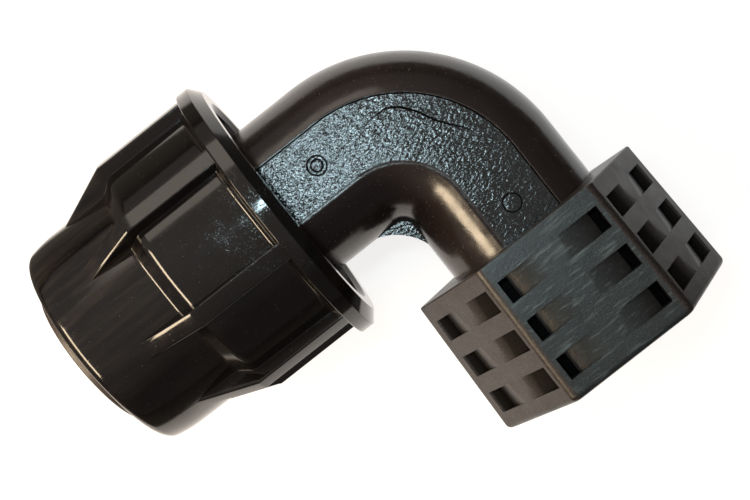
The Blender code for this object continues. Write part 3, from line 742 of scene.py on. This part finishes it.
def hexagon(corner, inset):
    """Hexagon with rounded corners; the two corners at the sides are sharper."""
    points = []
    for k in range(6):
        turn = k * pi / 3
        rounding = HEX_SIDE_ROUND if k % 3 == 0 else HEX_FACE_ROUND
        reach = corner - inset / cos(pi / 6) - rounding / cos(pi / 6)
        centre = (reach * cos(turn), reach * sin(turn))
        points += arc(centre, rounding, turn - pi / 6, turn + pi / 6, CORNER_STEPS)
    return points


def hex_corner(height):
    return HEX_NECK_CORNER + (HEX_END_CORNER - HEX_NECK_CORNER) * height / HEX_LENGTH


def hex_block():
    """Tapered hexagon from the neck shoulder to the rounded free end, pebbled on its two level faces."""
    levels = []
    for i in range(4):
        turn = i * pi / 6
        levels.append((HEX_NECK_ROUND * (1 - cos(turn)), HEX_NECK_ROUND * (1 - sin(turn))))
    for i in range(CORNER_STEPS + 1):
        turn = i * pi / (2 * CORNER_STEPS)
        levels.append((HEX_LENGTH - HEX_END_ROUND * (1 - sin(turn)), HEX_END_ROUND * (1 - cos(turn))))
    per_corner = CORNER_STEPS + 1
    paint = [SATIN] * (6 * per_corner)
    for k in (1, 4):
        paint[(k + 1) * per_corner - 1] = ERODED
    bm = bmesh.new()
    rings = [[(x, y, height) for x, y in hexagon(hex_corner(height), inset)] for height, inset in levels]
    loft(bm, rings, paint=paint)
    return bm


def slot_row(level_faces):
    """The hollows of one slot in the two level faces or in the four side faces, about a round core."""
    bm = bmesh.new()
    corner = hex_corner(SLOT_LAND + SLOT_WIDTH / 2)
    apothem = corner * cos(pi / 6)
    core = sqrt(apothem ** 2 + SLOT_MERGE_HALF ** 2)
    clear = SLOT_TOOL_CLEAR
    merge_turn = asin(SLOT_MERGE_HALF * SLOT_TOOL_START / core)
    face = pi / 6
    normal = (cos(face), sin(face))

    front = arc((0, 0), core, pi / 2 - merge_turn, pi / 2 - asin(CORE_SIDE / core), SLOT_STEPS)
    front += [(CORE_SIDE, apothem - RECESS_DEPTH), (POST_INNER, apothem - RECESS_DEPTH)]
    front += [(POST_INNER, apothem + clear), (front[0][0], apothem + clear)]

    inner = arc((0, 0), core, pi / 2 - asin(POST_OUTER / core), face + merge_turn, SLOT_STEPS)
    inner += [(inner[-1][0] + clear * normal[0], inner[-1][1] + clear * normal[1])]
    inner += [(POST_OUTER, apothem + clear)]

    outer = arc((0, 0), core, face - merge_turn, asin(FIN_HALF / core), SLOT_STEPS)
    outer += [(corner + clear, FIN_HALF)]
    outer += [(outer[0][0] + clear * normal[0], outer[0][1] + clear * normal[1])]
    for outline in [front] if level_faces else [inner, outer]:
        for side in (1, -1):
            for up in (1, -1):
                prism(bm, [(side * x, up * y) for x, y in outline], 0, SLOT_WIDTH)
    return bm


def stub_solid():
    length = STUB_END_AT - STUB_AT
    profile = [(-JOIN, TUBE_RADIUS - 4 * JOIN), (0, TUBE_RADIUS - JOIN), (STUB_CONE, STUB_ROOT_RADIUS)]
    profile += [(length - STUB_CHAMFER, STUB_ROOT_RADIUS), (length, STUB_ROOT_RADIUS - STUB_CHAMFER)]
    return turned_solid(profile)


def pipe_socket_hollow():
    seat = SEAL_SEAT_AT - PIPE_STOP_AT
    end = STUB_END_AT - PIPE_STOP_AT
    profile = [(0, PIPE_BORE_RADIUS), (seat, PIPE_BORE_RADIUS), (seat, SEAL_SEAT_RADIUS)]
    profile += [(end - JOIN, SEAL_SEAT_RADIUS), (end + JOIN, SEAL_SEAT_RADIUS + 2 * JOIN)]
    return turned_solid(profile)


def threaded_socket_hollow():
    profile = [(-SOCKET_FOOT_CONE, BORE_RADIUS - JOIN), (0, SOCKET_THREAD_RADIUS - SOCKET_FOOT_STEP)]
    profile += [(0, SOCKET_THREAD_RADIUS), (SOCKET_DEPTH - MOUTH_CHAMFER, SOCKET_THREAD_RADIUS)]
    profile += [(SOCKET_DEPTH + MOUTH_CHAMFER, SOCKET_THREAD_RADIUS + 2 * MOUTH_CHAMFER)]
    return turned_solid(profile)


def on_upper_pad(photo_x, photo_y):
    """The point of the upper pad that the photo shows at a pixel, from the corner."""
    ray = CAMERA_RIGHT * (photo_x - PHOTO_WIDTH / 2) + CAMERA_UP * (PHOTO_HEIGHT / 2 - photo_y)
    ray -= CAMERA_BACK * PHOTO_FOCAL
    return CAMERA_AT + ray * ((CORNER.z + PAD_HEIGHT - CAMERA_AT.z) / ray.z) - CORNER


def pin_pockets():
    """Pockets in the upper pad, as wide as the ejector pins' outer rings."""
    bm = bmesh.new()
    for photo_point, radii in PIN_MARKS:
        middle = on_upper_pad(*photo_point)
        outline = circle((middle.x, middle.y), radii[0] + MARK_HALF, PIN_STEPS)
        prism(bm, outline, PAD_HEIGHT - MARK_DEPTH, PAD_HEIGHT + MARK_DEPTH)
    # The pockets' walls get painted shade.
    return painted(bm, SHADED)


def pin_plugs():
    """Slightly domed ends of the ejector pins' marks, which fill the pockets up to their rings."""
    bm = bmesh.new()
    turns = full_turn(PIN_STEPS)
    low, top = PAD_HEIGHT - MARK_DEPTH, PAD_HEIGHT - PAD_SINK
    for photo_point, radii in PIN_MARKS:
        middle = on_upper_pad(*photo_point)
        profile = [(low - MARK_DEPTH, radii[0] - MARK_HALF), (top, radii[0] - MARK_HALF)]
        for radius in radii[1:]:
            profile += [(top, radius + MARK_HALF), (low, radius), (top, radius - MARK_HALF)]
        profile.append((top + PIN_DOME, profile[-1][1] / 2))
        loft(bm, [[(middle.x + r * cos(t), middle.y + r * sin(t), h) for t in turns] for h, r in profile])
    # The plugs' sides get painted shade, their tops the pebbled finish.
    for face in bm.faces:
        on_top = min(vert.co.z for vert in face.verts) > (low + top) / 2
        face.material_index = ERODED if on_top else SHADED
    return bm


def flow_line_groove():
    """The fine wavy line where two fronts of plastic met on the upper pad; it narrows towards its ends."""
    points = [on_upper_pad(*photo_point) for photo_point in FLOW_LINE]
    bm = bmesh.new()
    rings = []
    for i, point in enumerate(points):
        along = (points[min(i + 1, len(points) - 1)] - points[max(i - 1, 0)]).normalized()
        side = Vector((-along.y, along.x, 0))
        half = FLOW_LINE_HALF * sin(pi * (i + FLOW_LINE_TAIL) / (len(points) - 1 + 2 * FLOW_LINE_TAIL))
        low = Vector((point.x, point.y, PAD_HEIGHT - MARK_DEPTH))
        high = Vector((point.x, point.y, PAD_HEIGHT + (WEDGE_HEIGHT - 1) * MARK_DEPTH))
        rings.append([low, high + side * WEDGE_HEIGHT * half, high - side * WEDGE_HEIGHT * half])
    loft(bm, rings)
    # The line's walls get painted shade.
    return painted(bm, SHADED)


def cored_hexagon(materials, tree):
    """The hexagonal socket's outside; its rows of hollows grow with the taper."""
    block = solid("hexagon", hex_block(), along_socket(HEX_NECK_AT), materials)
    first_row = SLOT_LAND + SLOT_WIDTH / 2
    step = SLOT_WIDTH + SLOT_LAND
    growth = hex_corner(first_row + step) / hex_corner(first_row) - 1
    for level_faces, finish in ((True, ERODED), (False, SATIN)):
        rows = repeated("slots", slot_row(level_faces), tree, along_socket(HEX_NECK_AT + SLOT_LAND),
                        materials[finish], SLOT_COUNT, step_between=(0, 0, step), growth_between=growth)
        combine(block, rows, "DIFFERENCE")
    block = settle(block, "cored_hexagon")
    block.modifiers.clear()
    return block


def elbow_moulding(materials, tree):
    """Tube, stub, hexagonal socket and web, hollowed by the bores and both threads."""
    section, paint = tube_section()
    tube = swept(section, STUB_AT + 2 * JOIN, HEX_NECK_AT + 4 * JOIN, paint)
    body = solid("tube", tube, on_elbow(), materials)

    def join(name, bm, place):
        combine(body, solid(name, bm, place, materials), "UNION")

    def cut(name, bm, place):
        combine(body, solid(name, bm, place, materials), "DIFFERENCE")

    cut("pin_pockets", pin_pockets(), on_elbow())
    join("pin_marks", pin_plugs(), on_elbow())
    cut("flow_line", flow_line_groove(), on_elbow())
    join("stub", stub_solid(), along_nut(STUB_AT))
    combine(body, cored_hexagon(materials, tree), "UNION")
    join("web", gusset_web(), on_elbow())
    foot_at = HEX_END_AT - SOCKET_DEPTH
    bore = swept(circle((0, 0), BORE_RADIUS, BORE_STEPS), PIPE_STOP_AT + JOIN, foot_at - JOIN)
    cut("waterway", bore, on_elbow())
    cut("pipe_socket", pipe_socket_hollow(), along_nut(PIPE_STOP_AT))
    cut("thread_hollow", threaded_socket_hollow(), along_socket(foot_at))
    ridge = helical_ridge(STUB_ROOT_RADIUS - JOIN, MALE_CREST_RADIUS, RIDGE_ROOT_HALF, RIDGE_CREST_HALF,
                          NUT_THREAD_PITCH, NUT_THREAD_TURNS)
    join("stub_thread", ridge, along_nut(STUB_RIDGE_AT))
    pitch = SOCKET_THREAD_PITCH
    turns = (SOCKET_DEPTH - MOUTH_CHAMFER - 2 * pitch) / pitch
    fine = helical_ridge(SOCKET_THREAD_RADIUS + JOIN / 2, SOCKET_THREAD_CREST, SOCKET_RIDGE_ROOT_HALF,
                         SOCKET_RIDGE_CREST_HALF, pitch, turns)
    join("socket_thread", fine, along_socket(foot_at + pitch))
    return settle(body, "elbow_moulding")


# Nut moulding

def rounded(centre, radius, start, end, steps):
    """Arc of a (height, radius) profile; its angles are in degrees."""
    return arc(centre, radius, radians(start), radians(end), steps)


def shoulder():
    """Rounded edge, slope and fillet down which the panels step to the cap, as (height, radius) points."""
    edge = arc((PANEL_LENGTH, PANEL_END_RADIUS - PANEL_ROUND), PANEL_ROUND, pi / 2, pi / 2 - SHOULDER_SLOPE,
               CORNER_STEPS)
    drop = edge[-1][1] - CAP_RADIUS - SHOULDER_FILLET * (1 - cos(SHOULDER_SLOPE))
    foot = edge[-1][0] + drop / tan(SHOULDER_SLOPE) + SHOULDER_FILLET * sin(SHOULDER_SLOPE)
    fillet = arc((foot, CAP_RADIUS + SHOULDER_FILLET), SHOULDER_FILLET, 3 * pi / 2 - SHOULDER_SLOPE,
                 3 * pi / 2, SMALL_STEPS)
    return edge + fillet


def nut_profile():
    """Closed loop of (height, radius) points, from the rear face round the outside and back."""
    length = NUT_LENGTH
    outside = [(0, NUT_BORE_RADIUS + NUT_LEAD_IN), (0, FLANGE_RADIUS - FLANGE_BEVEL_DROP)]
    outside += [(FLANGE_BEVEL_LENGTH, FLANGE_RADIUS)]
    flange_edge = (FLANGE_LENGTH - FLANGE_EDGE, FLANGE_RADIUS - FLANGE_EDGE)
    outside += rounded(flange_edge, FLANGE_EDGE, 90, 0, SMALL_STEPS)
    drop = FLANGE_RADIUS - FLANGE_EDGE - PANEL_RADIUS
    outside += [(FLANGE_LENGTH + FLANGE_FILLET * (1 - cos(t)), PANEL_RADIUS + drop * (1 - sin(t)))
                for t in (pi / 12, pi / 6, pi / 4, pi / 3, 5 * pi / 12, pi / 2)]
    outside += shoulder()
    taper_end = length - NUT_FRONT_ROUND * (1 - sin(NUT_FRONT_SLOPE))
    taper_drop = NUT_FRONT_TAPER * tan(NUT_FRONT_SLOPE) / 2
    for i in range(CORNER_STEPS + 1):
        share = i / CORNER_STEPS
        outside.append((taper_end - NUT_FRONT_TAPER * (1 - share), CAP_END_RADIUS - taper_drop * share ** 2))
    rim = (length - NUT_FRONT_ROUND, outside[-1][1] - NUT_FRONT_ROUND * cos(NUT_FRONT_SLOPE))
    outside += arc(rim, NUT_FRONT_ROUND, pi / 2 - NUT_FRONT_SLOPE, 0, CORNER_STEPS)[1:]
    inside = rounded((length - RING_EDGE, NUT_MOUTH_RADIUS + RING_EDGE), RING_EDGE, 0, -90, SMALL_STEPS)
    inside += [(NUT_CONE_AT + NUT_CONE_LENGTH, NUT_MOUTH_RADIUS), (NUT_CONE_AT, NUT_CONE_RADIUS)]
    inside += [(NUT_CONE_AT - CONE_LEAD_LENGTH, NUT_CONE_RADIUS + CONE_LEAD_STEP)]
    inside += [(STUB_END_AT - NUT_REAR_AT + STUB_END_ROOM, NUT_BORE_RADIUS), (NUT_LEAD_IN, NUT_BORE_RADIUS)]
    return outside + inside


def one_rib():
    """A rib with a crowned top that runs out of the flange and slopes down onto the cap; its edges are
    rounder on the slope."""
    under_panel = NUT_BORE_RADIUS + RIB_ROOT_WALL
    under_cap = CAP_RADIUS - RIB_ROOT_IN_CAP
    foot = shoulder()[-1][0]
    tip_radius = CAP_RADIUS - JOIN / 2
    slope_length = RIB_TIP_AT - RIB_LENGTH
    roots = ((FLANGE_LENGTH - JOIN, under_panel), (PANEL_LENGTH - 2 * JOIN, under_panel),
             (RIB_LENGTH, (under_panel + under_cap) / 2))
    stations = [(height, root, 0, RIB_EDGE) for height, root in roots]
    for share in (RIB_SLOPE_START, (foot - RIB_LENGTH) / slope_length, RIB_SLOPE_MIDDLE, 1):
        stations.append((RIB_LENGTH + share * slope_length, under_cap, share, RIB_SLOPE_EDGE))
    half = RIB_WIDTH / 2
    turns = [i * pi / (2 * RIB_EDGE_STEPS) for i in range(RIB_EDGE_STEPS + 1)]
    bm = bmesh.new()
    rings = []
    for height, root, share, edge in stations:
        top = RIB_RADIUS + (tip_radius - RIB_RADIUS) * share
        side = [(half - edge * (1 - cos(t)), edge * (1 - sin(t))) for t in turns]
        side += [((half - edge) * (1 - i / SMALL_STEPS), 0) for i in range(1, SMALL_STEPS + 1)]
        side = [(sqrt(top ** 2 - across ** 2) - drop, across) for across, drop in side]
        section = [(root, half)] + side
        section += [(radius, -across) for radius, across in side[-2::-1]] + [(root, -half)]
        rings.append([(radius, across, height) for radius, across in section])
    loft(bm, rings)
    bmesh.ops.recalc_face_normals(bm, faces=bm.faces)
    return bm


def nut_moulding(material, tree):
    """Flange, panels, ribs and stepped cap outside; thread, cone and mouth inside."""
    nut = solid("nut_turned", turned_ring(nut_profile()), along_nut(NUT_REAR_AT), [material])
    ribs = repeated("ribs", one_rib(), tree, along_nut(NUT_REAR_AT), material, RIB_COUNT,
                    first_turn=FIRST_RIB_ANGLE, turn_between=2 * pi / RIB_COUNT)
    combine(nut, ribs, "UNION")
    slope = (RIDGE_ROOT_HALF - RIDGE_CREST_HALF) / (NUT_THREAD_HEIGHT + JOIN)
    groove_crest = NUT_THREAD_PITCH / 2 - RIDGE_ROOT_HALF - THREAD_GAP
    groove_root = groove_crest + slope * (NUT_THREAD_HEIGHT + JOIN)
    ridge = helical_ridge(NUT_BORE_RADIUS + JOIN, STUB_ROOT_RADIUS + THREAD_GAP, groove_root, groove_crest,
                          NUT_THREAD_PITCH, NUT_THREAD_TURNS)
    thread_at = STUB_RIDGE_AT - NUT_THREAD_PITCH / 2
    combine(nut, solid("nut_thread", ridge, along_nut(thread_at), [material]), "UNION")
    return settle(nut, "nut_moulding")


# Inner pieces

def split_ring(material):
    """Tapered ring with a slit and inner barbs; its nose stands out of the nut's mouth."""
    mouth = NUT_CONE_AT + NUT_CONE_LENGTH
    front = NUT_LENGTH + RING_NOSE
    outside = [(NUT_CONE_AT, NUT_CONE_RADIUS - SEAT_GAP - RING_EDGE)]
    outside += [(NUT_CONE_AT + RING_EDGE, NUT_CONE_RADIUS - SEAT_GAP - RING_EDGE / 4)]
    outside += [(mouth, NUT_MOUTH_RADIUS - SEAT_GAP), (NUT_LENGTH, NUT_MOUTH_RADIUS - SEAT_GAP)]
    outside += rounded((front - RING_EDGE, RING_NOSE_RADIUS - RING_EDGE), RING_EDGE, 80, 0, 5)
    barb_pitch = (front - NUT_CONE_AT - 3 * RING_EDGE) / BARB_COUNT
    barb_root = PIPE_BORE_RADIUS + BARB_HEIGHT
    inside = [(front, PIPE_BORE_RADIUS + RING_EDGE), (front - RING_EDGE, PIPE_BORE_RADIUS)]
    for k in range(BARB_COUNT):
        crest = front - RING_EDGE - k * barb_pitch
        inside += [(crest - RING_EDGE, PIPE_BORE_RADIUS), (crest - 2 * RING_EDGE, barb_root)]
        if k < BARB_COUNT - 1:
            inside += [(crest - barb_pitch, PIPE_BORE_RADIUS)]
    inside += [(NUT_CONE_AT, barb_root)]
    first = RING_SPLIT_CENTRE + RING_SPLIT_ANGLE / 2
    span = 2 * pi - RING_SPLIT_ANGLE
    turns = [first + span * i / ROUND_STEPS for i in range(ROUND_STEPS + 1)]
    bm = bmesh.new()
    loft(bm, [[(r * cos(t), r * sin(t), h) for h, r in outside + inside] for t in turns])
    return settle(solid("ring_turned", bm, along_nut(NUT_REAR_AT), [material]), "ring_moulding")


def bush(material):
    nose_outer = SEAL_SEAT_RADIUS - SEAT_GAP
    flange_start = BUSH_NOSE_DEPTH + SEAT_GAP
    end = flange_start + BUSH_FLANGE_LENGTH
    profile = [(0, PIPE_BORE_RADIUS), (0, nose_outer), (flange_start, nose_outer)]
    profile += [(flange_start, BUSH_FLANGE_RADIUS), (end - BUSH_CHAMFER, BUSH_FLANGE_RADIUS)]
    profile += [(end, BUSH_FLANGE_RADIUS - BUSH_CHAMFER), (end, PIPE_BORE_RADIUS)]
    place = along_nut(STUB_END_AT - BUSH_NOSE_DEPTH)
    return settle(solid("bush_turned", turned_ring(profile), place, [material]), "bush_moulding")


def seal(material):
    centre_radius = PIPE_BORE_RADIUS + SEAL_RADIUS - SEAL_SQUEEZE
    profile = [(SEAL_RADIUS * sin(t), centre_radius + SEAL_RADIUS * cos(t)) for t in full_turn(SEAL_STEPS)]
    place = along_nut(SEAL_SEAT_AT + SEAL_RADIUS + SEAT_GAP)
    return settle(solid("seal_turned", turned_ring(profile), place, [material]), "seal_ring")


# Studio

def area_light(name, at, towards, width, height, colour, radiance):
    """Soft light whose face shows the given radiance, where 1 is white."""
    lamp = bpy.data.lights.new(name, "AREA")
    lamp.shape = "RECTANGLE"
    lamp.size = width
    lamp.size_y = height
    lamp.color = hex_colour(colour)[:3]
    lamp.energy = radiance * pi * width * height
    light = in_scene(name, lamp)
    light.location = at
    light.rotation_euler = (Vector(at) - Vector(towards)).to_track_quat("Z", "Y").to_euler()
    light.visible_camera = False


def studio_world():
    """Dim room, lighter on the side of the window; the camera sees plain white."""
    world = bpy.data.worlds.new("studio")
    world.use_nodes = True
    tree = world.node_tree
    tree.nodes.clear()
    place = tree_node(tree, "ShaderNodeTexCoord").outputs["Generated"]
    facing = along_direction(tree, place, WINDOW_DIRECTION)
    room = mixed(tree, ranged(tree, facing, 0.0, WINDOW_REACH), ROOM_DARK, ROOM_LIGHT)
    lit = tree_node(tree, "ShaderNodeBackground", inputs={"Strength": 1.0}, links={"Color": room})
    white = tree_node(tree, "ShaderNodeBackground", inputs={"Color": (1, 1, 1, 1), "Strength": 1.0})
    seen = tree_node(tree, "ShaderNodeLightPath").outputs["Is Camera Ray"]
    choice = mixed_shaders(tree, seen, lit.outputs[0], white.outputs[0])
    tree_node(tree, "ShaderNodeOutputWorld", links={0: choice})
    bpy.context.scene.world = world


def matt_paint(tree, level):
    return tree_node(tree, "ShaderNodeBsdfDiffuse", inputs={"Color": (level, level, level, 1)}).outputs[0]


def floor_material():
    """White floor: the camera sees it white everywhere, with the shadow left in. Reflections see a white
    sheet under the object and a dark table round it. The rest of the light meets plain paint."""
    material = bpy.data.materials.new("white_card")
    material.use_nodes = True
    tree = material.node_tree
    tree.nodes.clear()
    path = tree_node(tree, "ShaderNodeLightPath").outputs
    spot = tree_node(tree, "ShaderNodeTexCoord").outputs["Object"]
    across = tree_node(tree, "ShaderNodeSeparateXYZ", links={"Vector": spot}).outputs[0]
    tint = mixed(tree, ranged(tree, across, SHEET_TINT_FROM, SHEET_TINT_TO), WARM_TINT, COOL_TINT)
    tint = mixed(tree, path["Is Camera Ray"], tint, SEEN_TINT)
    glow = tree_node(tree, "ShaderNodeEmission", inputs={"Strength": SHEET_GLOW}, links={"Color": tint})
    sheet_paint = matt_paint(tree, SHEET_PAINT)
    white = tree_node(tree, "ShaderNodeAddShader", links={0: sheet_paint, 1: glow.outputs[0]})
    sheet = 1.0
    for direction, low, high in ((CAMERA_RIGHT, SHEET_LEFT, SHEET_RIGHT),
                                 (CAMERA_UP, SHEET_BOTTOM, SHEET_TOP)):
        place = along_direction(tree, spot, direction)
        for edge, side in ((low, 1), (high, -1)):
            sheet = times(tree, ranged(tree, place, edge, edge + side * SHEET_EDGE), sheet)
    card = maths(tree, "MAXIMUM", path["Is Camera Ray"], sheet)
    seen = mixed_shaders(tree, card, matt_paint(tree, TABLE_PAINT), white.outputs[0])
    either = maths(tree, "MAXIMUM", path["Is Camera Ray"], path["Is Glossy Ray"])
    either = maths(tree, "MAXIMUM", either, path["Is Transmission Ray"])
    choice = mixed_shaders(tree, either, matt_paint(tree, FLOOR_PAINT), seen)
    tree_node(tree, "ShaderNodeOutputMaterial", links={0: choice})
    return material


def studio():
    bm = bmesh.new()
    bmesh.ops.create_grid(bm, x_segments=1, y_segments=1, size=FLOOR_SIZE)
    floor = solid("floor", bm, Matrix.Translation((0, 0, -FLOOR_GAP)), [floor_material()])
    studio_world()
    for lamp in LAMPS:
        area_light(*lamp)


def camera():
    lens = bpy.data.cameras.new("camera")
    lens.lens = CAMERA_LENS
    lens.sensor_width = CAMERA_SENSOR
    made = in_scene("camera", lens)
    columns = Matrix((CAMERA_RIGHT, CAMERA_UP, CAMERA_BACK)).transposed()
    made.matrix_world = Matrix.Translation(CAMERA_AT) @ columns.to_4x4()
    bpy.context.scene.camera = made


def build():
    tree = repeating_tree()
    body_materials = [satin_polypropylene(), eroded_polypropylene(), shaded_grooves()]
    nut_material = glossy_polypropylene()
    ring_material = plain_moulding("moulded_acetal", "463d39", "39322f", 0.38, 1.48)
    bush_material = plain_moulding("moulded_polypropylene_plain", "222020", "181616", 0.38, 1.49)
    seal_material = plain_moulding("moulded_nitrile_rubber", "1a1a1a", "101010", 0.6, 1.52)
    made = [
        (elbow_moulding(body_materials, tree), "elbow_body", "fitting_body", "moulded_body"),
        (nut_moulding(nut_material, tree), "compression_nut", "nut", "moulded_nut"),
        (split_ring(ring_material), "grip_ring", "ring_carrier", "moulded_ring"),
        (bush(bush_material), "thrust_bush", "fitting_body", "moulded_bush"),
        (seal(seal_material), "o_ring_seal", "fitting_body", "seal_rubber"),
    ]
    for piece, node, body, slot in made:
        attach(piece, body)
        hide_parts(node)


bpy.context.scene.view_settings.view_transform = "Standard"
build()
studio()
camera()
